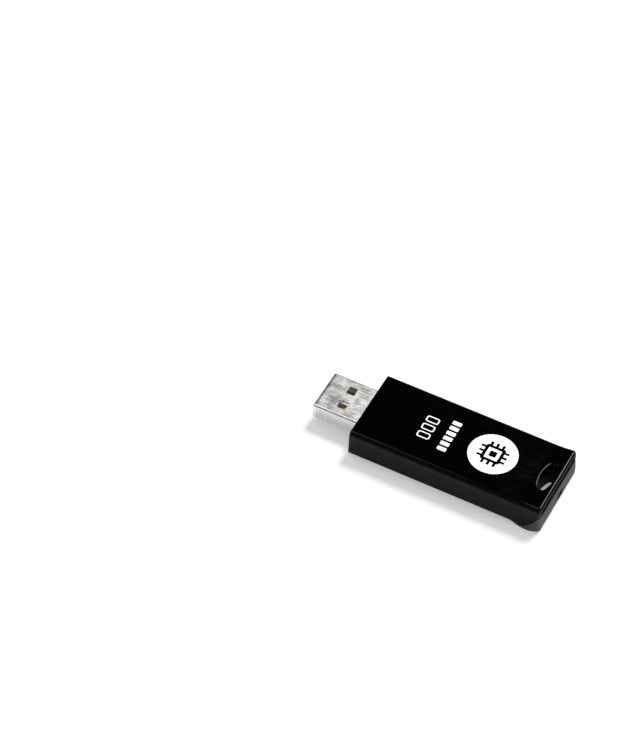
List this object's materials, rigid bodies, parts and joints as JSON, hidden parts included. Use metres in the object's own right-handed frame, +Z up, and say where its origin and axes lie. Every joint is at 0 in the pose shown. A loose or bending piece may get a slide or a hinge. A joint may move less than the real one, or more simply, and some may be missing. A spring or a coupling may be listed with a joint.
{
  "type": "usb flash drive",
  "caption": "Capless USB flash drive: glossy cover and matte tray with a flared tail, strap slot, and a plug on a carriage that a thumb slider under the body draws in.",
  "frame": {"origin": "under the middle of the drive with its plug out, on the surface that it lies on", "axes": "+X is the way the plug goes into a socket, +Y is across the body, +Z is up through the printed top"},
  "size_m": [0.0624, 0.0232, 0.0074],
  "materials": {
    "cover": "high gloss black",
    "tray": "finely spark-eroded matte",
    "print": "screen-printed white ink",
    "carrier": "plain moulded",
    "slider": "grooved, satin",
    "spring": "spring strip",
    "shell": "nickel-plated sheet",
    "insulator": "plain moulded white",
    "gold": "gold-plated strip",
    "solder": "bright solder",
    "board": "green solder resist",
    "chip": "moulded epoxy",
    "can": "plated can",
    "capacitor": "fired ceramic",
    "led": "clear resin"
  },
  "bodies": {
    "housing": {"top_cover": "cover", "bottom_tray": "tray", "emblem_print": "print", "legend_print": "print"},
    "carriage": {"carrier_frame": "carrier", "carrier_lid": "carrier", "thumb_slider": "slider", "detent_springs": "spring", "plug_shell": "shell", "plug_insulator": "insulator", "plug_contacts": "gold", "solder_joints": "solder", "circuit_board": "board", "flash_chip": "chip", "flash_leads": "solder", "controller_chip": "chip", "crystal_can": "can", "regulator_chip": "chip", "capacitors": "capacitor", "resistors": "chip", "status_led": "led"}
  },
  "joints": [
    {"name": "plug_retract", "type": "slide", "parent": "housing", "child": "carriage", "axis": [-1, 0, 0], "range_m": [0, 0.0122]}
  ]
}
